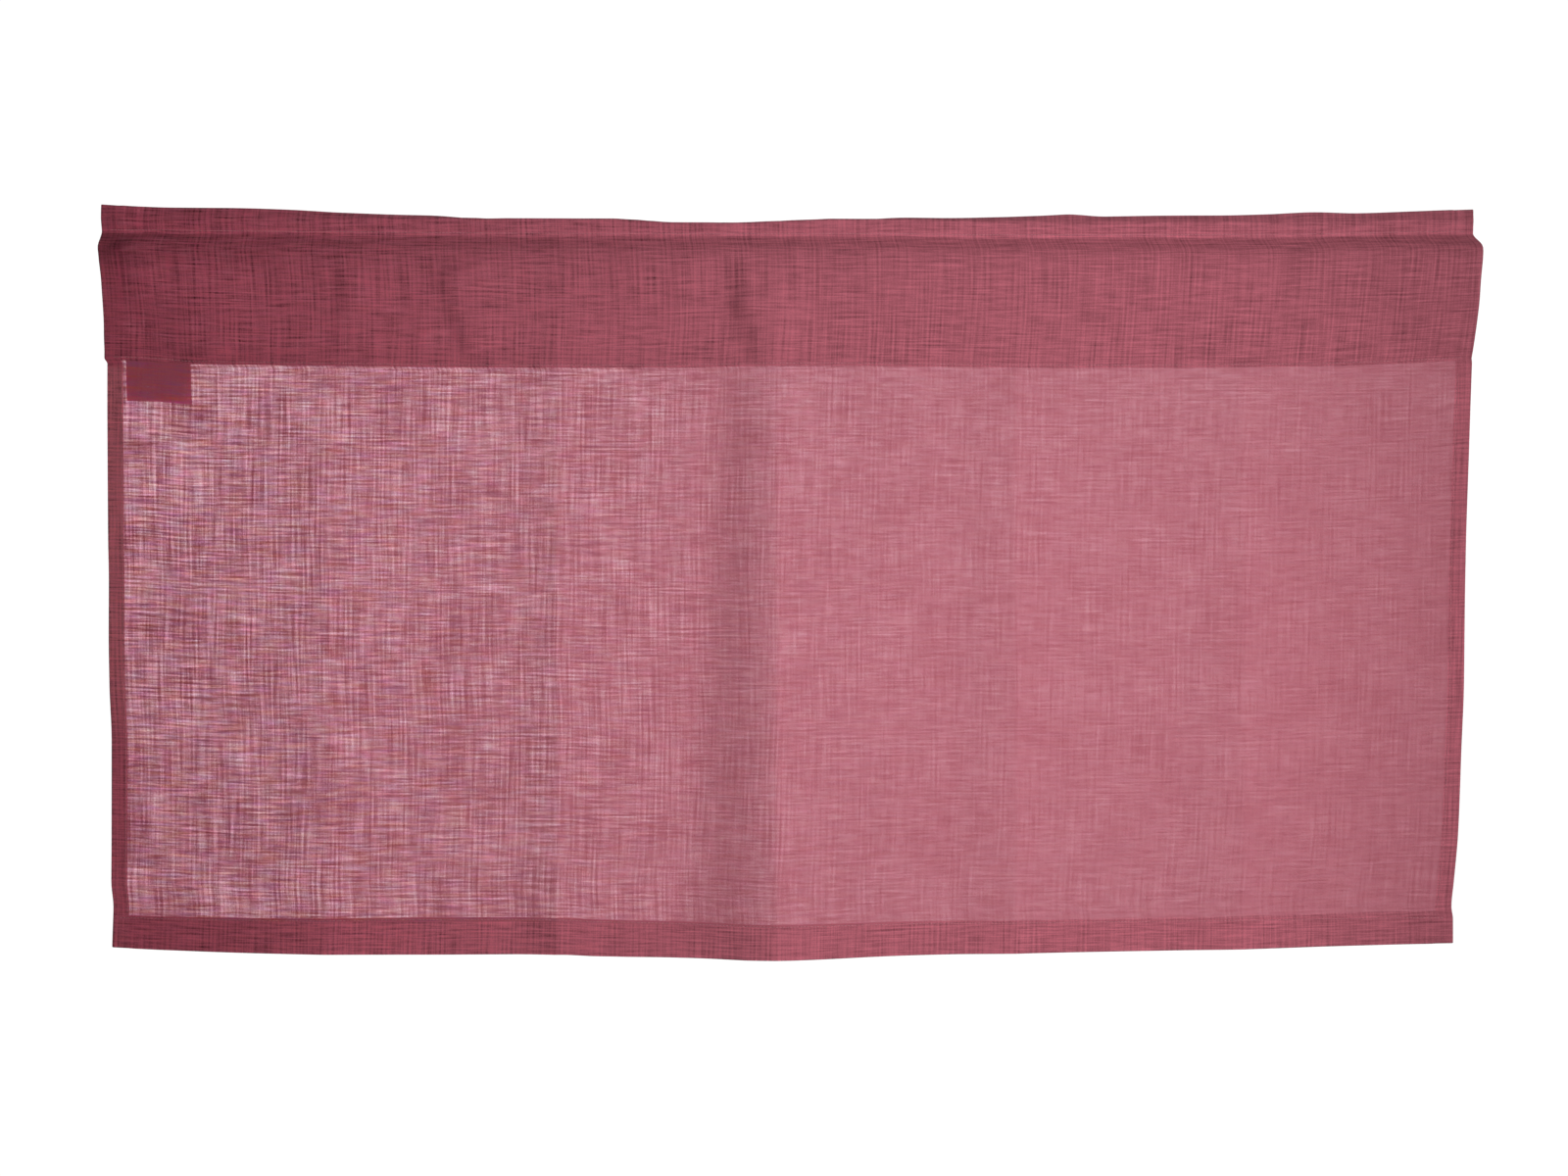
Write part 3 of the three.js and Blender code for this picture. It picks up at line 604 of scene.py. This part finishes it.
def weave(n):
    """Plain weave of uneven slubbed yarns: where it lets light through, where it glows and how thick it is, over the cloth's own
    flat coordinates (u across, v up, in mm). Its left half is more open and more uneven than its right."""
    place = n.add("ShaderNodeAttribute", attribute_name="flat")
    split = n.add("ShaderNodeSeparateXYZ")
    n.plug(place.outputs["Vector"], split.inputs[0])
    u, v = split.outputs[0], split.outputs[1]
    share = n.times(n.plus(u, 600.0), 1 / 1200)

    def along(*stops):
        """A number from -1 to 1 that changes from left to right."""
        least = min(to for at, to in stops)
        if least >= 0:
            return n.ramp(share, *((at, (to, to, to)) for at, to in stops))
        return n.times(n.ramp(share, *((at, (-to, -to, -to)) for at, to in stops)), -1.0)

    def field(across, up, seed, detail=1.0, x=u, y=v):
        return n.noise(n.times(x, 1 / across), n.times(y, 1 / up), detail, seed)

    # Where yarns run a little aslant.
    wu = n.plus(u, n.times(field(60, 170, 3.1, 0.0), 1.8))
    wv = n.plus(v, n.times(field(220, 60, 8.7, 0.0), 1.8))
    # Single yarns, then the rows where thicker yarns fall together, each in its own patches.
    warp = field(1.8, 60, 23.9, 1.0, wu, v)
    weft = field(44, 1.6, 11.3, 1.0, u, wv)
    slub = field(14, 1.5, 71.9, 0.0, u, wv)
    warp_patch = n.plus(n.times(field(30, 60, 47.3), 1.3), 1.0)
    weft_patch = n.plus(n.times(field(60, 22, 41.9), 1.3), 1.0)
    tau = 2 * math.pi
    warp_row = n.times(n.math("COSINE", n.times(n.plus(wu, n.times(field(26, 90, 13.3), 6.0)), tau / 4.7)), warp_patch)
    weft_row = n.times(n.math("COSINE", n.times(n.plus(wv, n.times(field(90, 26, 19.1), 7.0)), tau / 4.5)), weft_patch)
    grain = field(1.3, 1.3, 37.7, 0.0, wu, wv)
    crisp = n.plus(
        n.plus(n.times(n.times(warp, warp_patch), 2.7), n.times(warp_row, 0.2)),
        n.plus(n.plus(n.times(n.times(weft, weft_patch), 3.0), n.times(slub, 1.4)), n.plus(n.times(weft_row, 0.15), n.times(grain, 1.0))),
    )
    # Softer streaks, which are all that shows where the weave is closer.
    soft = n.plus(
        n.plus(n.times(field(15, 1.6, 81.3, 0.0, u, wv), 3.0), n.times(field(2.2, 14, 87.1, 0.0, wu, v), 2.0)),
        n.plus(n.times(field(19, 9, 91.7, 1.0), 1.7), n.times(field(60, 2.0, 95.9, 0.0, u, wv), 1.5)),
    )
    cloudy = field(62, 44, 53.1, 2.0)
    thick = n.plus(
        n.plus(n.times(crisp, along((0.0, 1.0), (0.2, 0.88), (0.32, 0.90), (0.42, 0.78), (0.52, 0.60), (0.62, 0.50), (1.0, 0.56))),
               n.times(soft, along((0.0, 0.18), (0.4, 0.19), (0.6, 0.26), (1.0, 0.23)))),
        n.times(cloudy, along((0.0, 1.3), (0.5, 0.8), (1.0, 0.7))),
    )
    open_mean = along((0.0, 0.112), (0.2, 0.103), (0.42, 0.078), (0.52, 0.068), (0.62, 0.062), (0.80, 0.057), (0.89, 0.046), (1.0, 0.034))
    # In the two strongest folds the weave is closed up.
    press = n.ramp(share, *((at, (to, to, to)) for at, to in PRESSED), interpolation="EASE")
    light = n.math("MAXIMUM", n.plus(n.times(thick, -0.5), 1.0), 0.08)
    openness = n.times(n.times(open_mean, press), n.times(light, light))
    # It is a little closer lower down, and in the lower left corner.
    level = n.times(v, 1 / 515)
    openness = n.times(openness, n.ramp(level, *((at, (to, to, to)) for at, to in ((0.05, 0.43), (0.35, 0.465), (0.6, 0.5), (1.0, 0.55)))))
    corner = n.times(n.steps(u, -560.0, -490.0, 1.0, 0.0), n.steps(v, 130.0, 270.0, 1.0, 0.0))
    openness = n.times(openness, n.plus(n.times(corner, -0.3), 2.0))
    # Doubled cloth: heading and hems.
    edges = n.math("MAXIMUM", n.steps(u, -580.0, -579.0, 1.0, 0.0), n.steps(u, 588.0, 589.0))
    doubled = n.math("MAXIMUM", edges, n.math("MAXIMUM", n.steps(v, 513.5, 515.0), n.steps(v, 28.0, 30.0, 1.0, 0.0)))
    closed = along((0.0, -0.5), (0.4, -0.5), (0.75, -0.68), (1.0, -0.8))
    openness = n.times(openness, n.plus(n.times(doubled, closed), 1.0))
    # Where the left side hem is painted paler and kept out of the left end's painted shade.
    left_hem = n.times(n.steps(u, -580.0, -579.0, 1.0, 0.0), n.times(n.steps(v, 505.0, 512.0, 1.0, 0.0), n.steps(v, 150.0, 250.0, 0.2, 1.0)))
    # Redder or paler patches, and yarns of a warmer or a cooler dye lot.
    warmth = n.times(field(15.0, 9.0, 61.7, 1.0), along((0.0, 0.8), (0.3, 0.7), (0.5, 0.5), (0.62, 0.32), (1.0, 0.3)))
    hue = n.times(field(28.0, 3.4, 67.7, 1.0), along((0.0, 0.62), (0.14, 0.52), (0.3, 0.30), (0.42, 0.12), (0.6, 0.06), (1.0, 0.04)))
    hue = n.times(hue, n.plus(n.times(doubled, -0.85), 1.0))
    return dict(u=u, v=v, wu=wu, wv=wv, share=share, thick=thick, openness=openness, warmth=warmth, hue=hue, crisp=crisp, doubled=doubled, left_hem=left_hem, along=along)


def cloth_material():
    """Sheer cloth: light passes between its yarns, glows through them, and the rest is their own dye with painted light
    and shade laid on it.
    """
    material, n = new_material("sheer_cloth")
    f = weave(n)
    thick, warmth = f["thick"], f["warmth"]
    # The yarns themselves, about twelve to the centimetre.
    tau = 2 * math.pi
    yarn_u = n.math("SINE", n.times(f["wu"], tau / 0.82))
    yarn_v = n.math("SINE", n.times(f["wv"], tau / 0.86))
    mesh_open = n.plus(n.times(n.plus(yarn_u, yarn_v), 0.35), 1.0)
    glow = n.math("MULTIPLY", n.times(f["openness"], 1.35), n.plus(n.times(warmth, 1.5), 1.0), clamp=True)
    glow = n.math("MINIMUM", glow, 0.6)
    openness = n.times(f["openness"], n.plus(n.times(warmth, -0.7), 1.0))
    openness = n.math("MINIMUM", n.math("MAXIMUM", n.times(openness, mesh_open), 0.002), 0.6)

    uneven_lit = f["along"]((0.0, -0.30), (0.3, -0.26), (0.5, -0.21), (1.0, -0.20))
    lit = n.plus(n.plus(n.times(n.times(f["crisp"], f["doubled"]), uneven_lit), n.times(thick, -0.07)), 1.0)
    # Painted light and shade: a painted highlight along the upper stitch line's ridge, painted shade where the pocket's
    # face is bent below it (deepest at the left end) and over the pocket's face towards the right, painted light and
    # shade in the hem, and the left side hem painted paler.
    v, along = f["v"], f["along"]
    ridge = n.times(n.steps(v, HEADING_FLAT - 1.2, HEADING_FLAT - 0.4), n.steps(v, HEADING_FLAT + 1.6, HEADING_FLAT + 2.6, 1.0, 0.0))
    face = n.times(n.steps(v, 513.5, 515.0), n.steps(v, HEADING_FLAT - 3.0, HEADING_FLAT - 1.0, 1.0, 0.0))
    bend = n.times(n.steps(v, HEADING_FLAT - 42, HEADING_FLAT - 20), n.steps(v, HEADING_FLAT - 3.0, HEADING_FLAT - 1.0, 1.0, 0.0))
    low = n.steps(v, 28.0, 30.0, 1.0, 0.0)
    # Painted highlight on the ridge, painted shade in the bend and on the pocket's face, painted paler left side hem.
    painted_light_and_shade = n.plus(
        n.plus(n.times(ridge, 0.13), n.times(bend, along((0.0, -0.30), (0.06, -0.25), (0.12, -0.14), (0.18, -0.09), (0.3, -0.07), (0.5, -0.02), (1.0, 0.0)))),
        n.plus(n.times(face, along((0.0, -0.0), (0.3, -0.001), (0.45, -0.04), (0.6, -0.06), (1.0, -0.09))), n.times(f["left_hem"], 0.2)),
    )
    # Painted light and shade along the bottom hem, with painted shade at its right end.
    hem_light_and_shade = along((0.0, 0.03), (0.10, 0.03), (0.14, 0.13), (0.2, 0.13), (0.32, 0.10), (0.34, 0.0), (0.42, 0.0), (0.46, 0.05), (0.52, 0.0), (1.0, 0.0))
    painted_light_and_shade = n.plus(n.plus(painted_light_and_shade, n.times(low, hem_light_and_shade)), n.times(low, along((0.84, 0.0), (0.92, -0.06), (1.0, -0.08))))
    lit = n.times(lit, n.plus(painted_light_and_shade, 1.0))
    tint = n.math("ADD", n.times(f["hue"], 2.0), 0.5, clamp=True)
    base = n.ramp(tint, (0.0, (0.539, 0.126, 0.101)), (0.5, (0.465, 0.122, 0.163)), (1.0, (0.390, 0.122, 0.225)))
    base = n.blend_colour(1.0, base, n.combine_grey(lit), "MULTIPLY")
    # Painted shade: the left end is a deeper, darker red, standing in for its weaker front light and the red glow of
    # the light from behind; the left side hem is kept out of it.
    left_painted_shade = n.ramp(f["share"], *((at, (1.0, to, 0.35 + 0.65 * to)) for at, to in ((0.0, 0.74), (0.07, 0.78), (0.2, 0.87), (0.3, 0.94), (0.5, 1.0))))
    left_painted_shade = n.blend_colour(f["left_hem"], left_painted_shade, (1.0, 1.0, 0.95))
    base = n.blend_colour(1.0, base, left_painted_shade, "MULTIPLY")
    height = n.plus(n.times(n.plus(yarn_u, yarn_v), 0.25), n.times(thick, 0.3))
    bump = n.add("ShaderNodeBump")
    bump.inputs["Strength"].default_value = 0.35
    bump.inputs["Distance"].default_value = 0.0002
    n.plug(height, bump.inputs["Height"])
    rough = n.math("ADD", n.times(thick, 0.03), 0.85)

    yarn = n.add("ShaderNodeBsdfPrincipled")
    n.plug(base, yarn.inputs["Base Color"])
    n.plug(rough, yarn.inputs["Roughness"])
    n.plug(bump.outputs[0], yarn.inputs["Normal"])
    yarn.inputs["Specular IOR Level"].default_value = 0.08
    yarn.inputs["Sheen Weight"].default_value = 0.05
    yarn.inputs["Sheen Roughness"].default_value = 0.5
    yarn.inputs["Sheen Tint"].default_value = (0.8, 0.4, 0.46, 1.0)
    through = n.add("ShaderNodeBsdfTranslucent")
    n.plug(n.ramp(tint, (0.0, (1.0, 0.12, 0.02)), (0.5, (0.95, 0.04, 0.25)), (1.0, (0.82, 0.02, 0.52))), through.inputs["Color"])
    cloth = n.add("ShaderNodeMixShader")
    n.plug(glow, cloth.inputs[0])
    n.plug(yarn.outputs[0], cloth.inputs[1])
    n.plug(through.outputs[0], cloth.inputs[2])
    gap = n.add("ShaderNodeBsdfTransparent")
    both = n.add("ShaderNodeMixShader")
    n.plug(openness, both.inputs[0])
    n.plug(cloth.outputs[0], both.inputs[1])
    n.plug(gap.outputs[0], both.inputs[2])
    n.plug(both.outputs[0], n.add("ShaderNodeOutputMaterial").inputs[0])
    return material


def label_material():
    """Close satin tape, bare."""
    material, n = new_material("label_tape")
    place = n.add("ShaderNodeAttribute", attribute_name="flat")
    split = n.add("ShaderNodeSeparateXYZ")
    n.plug(place.outputs["Vector"], split.inputs[0])
    u, v = split.outputs[0], split.outputs[1]
    rib = n.math("SINE", n.times(n.plus(v, n.times(n.noise(n.times(u, 1 / 12), n.times(v, 1 / 6), 1.0, 2.0), 0.6)), 2 * math.pi / 0.45))
    mottle = n.noise(n.times(u, 1 / 7), n.times(v, 1 / 5), 2.0, 5.5)
    base = n.ramp(n.math("ADD", mottle, 0.5, clamp=True), (0.25, (0.70, 0.60, 0.58)), (0.75, (0.95, 0.90, 0.88)))
    bump = n.add("ShaderNodeBump")
    bump.inputs["Strength"].default_value = 0.25
    bump.inputs["Distance"].default_value = 0.0001
    n.plug(n.plus(rib, mottle), bump.inputs["Height"])
    tape = n.add("ShaderNodeBsdfPrincipled")
    n.plug(base, tape.inputs["Base Color"])
    n.plug(n.math("ADD", n.times(mottle, 0.2), 0.5), tape.inputs["Roughness"])
    n.plug(bump.outputs[0], tape.inputs["Normal"])
    tape.inputs["Specular IOR Level"].default_value = 0.4
    n.plug(tape.outputs[0], n.add("ShaderNodeOutputMaterial").inputs[0])
    return material


def thread_material():
    """Twisted sewing thread, a shade lighter than the cloth."""
    material, n = new_material("sewing_thread")
    place = n.add("ShaderNodeTexCoord")
    split = n.add("ShaderNodeSeparateXYZ")
    n.plug(place.outputs["Object"], split.inputs[0])
    x, z = n.times(split.outputs[0], 1000.0), n.times(split.outputs[2], 1000.0)
    twist = n.math("SINE", n.times(n.plus(x, z), 2 * math.pi / 0.55))
    shade = n.noise(n.times(x, 1 / 9), n.times(z, 1 / 9), 2.0, 4.2)
    base = n.ramp(n.math("ADD", n.plus(n.times(twist, 0.12), shade), 0.5, clamp=True), (0.2, (0.50, 0.17, 0.22)), (0.8, (0.64, 0.26, 0.31)))
    bump = n.add("ShaderNodeBump")
    bump.inputs["Strength"].default_value = 0.5
    bump.inputs["Distance"].default_value = 0.0001
    n.plug(twist, bump.inputs["Height"])
    thread = n.add("ShaderNodeBsdfPrincipled")
    n.plug(base, thread.inputs["Base Color"])
    n.plug(n.math("ADD", n.times(shade, 0.2), 0.55), thread.inputs["Roughness"])
    n.plug(bump.outputs[0], thread.inputs["Normal"])
    thread.inputs["Specular IOR Level"].default_value = 0.35
    n.plug(thread.outputs[0], n.add("ShaderNodeOutputMaterial").inputs[0])
    return material


curtain.data.materials.append(cloth_material())
label.data.materials.append(label_material())
stitching.data.materials.append(thread_material())

# ------------------------------------------------------------------ stage and light
floor = mesh_object(
    "studio_floor", np.array([[-60, -60, -1.4], [60, -60, -1.4], [60, 60, -1.4], [-60, 60, -1.4]], float), [[0, 1, 2, 3]], smooth=False
)
pale, n = new_material("pale_floor")
glow = n.add("ShaderNodeEmission")
glow.inputs["Color"].default_value = (1.0, 1.0, 1.0, 1.0)
glow.inputs["Strength"].default_value = 1.05
n.plug(glow.outputs[0], n.add("ShaderNodeOutputMaterial").inputs[0])
pale.cycles.emission_sampling = "NONE"
floor.data.materials.append(pale)
floor.visible_diffuse = floor.visible_glossy = floor.visible_transmission = floor.visible_shadow = False

world = bpy.data.worlds.new("studio")
scene.world = world
world.use_nodes = True
n = Nodes(world.node_tree)
direction = n.add("ShaderNodeTexCoord")
split = n.add("ShaderNodeSeparateXYZ")
n.plug(direction.outputs["Generated"], split.inputs[0])
room = n.add("ShaderNodeBackground")
n.plug(n.steps(split.outputs[1], -0.35, 0.35, 0.08, 0.62), room.inputs["Strength"])
room.inputs["Color"].default_value = (1.0, 1.0, 1.0, 1.0)
seen = n.add("ShaderNodeBackground")
seen.inputs["Color"].default_value = (1.0, 1.0, 1.0, 1.0)
seen.inputs["Strength"].default_value = 1.05
path = n.add("ShaderNodeLightPath")
both = n.add("ShaderNodeMixShader")
n.plug(path.outputs["Is Camera Ray"], both.inputs[0])
n.plug(room.outputs[0], both.inputs[1])
n.plug(seen.outputs[0], both.inputs[2])
n.plug(both.outputs[0], n.add("ShaderNodeOutputWorld").inputs[0])


def area_light(name, place, aim, wide, high, power, spread=180):
    data = bpy.data.lights.new(name, "AREA")
    data.shape, data.size, data.size_y, data.energy = "RECTANGLE", wide, high, power
    data.spread = math.radians(spread)
    made = bpy.data.objects.new(name, data)
    scene.collection.objects.link(made)
    made.location = Vector(place)
    made.rotation_euler = (Vector(aim) - Vector(place)).to_track_quat("-Z", "Y").to_euler()
    made.visible_camera = False
    return made


area_light("key", (1.10, -1.30, -0.40), (-0.07, 0.0, -0.32), 0.4, 1.2, 5.95, spread=73)
area_light("back_glow", (-0.95, 1.25, -0.25), (-0.6, 0.0, -0.35), 0.8, 0.8, 7.0)

scene.view_settings.view_transform = "Standard"
scene.view_settings.look = "None"
scene.view_settings.exposure = 0.0
scene.view_settings.gamma = 1.0

# ------------------------------------------------------------------ what each piece is
for piece in (curtain, label, stitching):
    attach(piece, "root")
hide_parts("panel", "heading")
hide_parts("care_label")
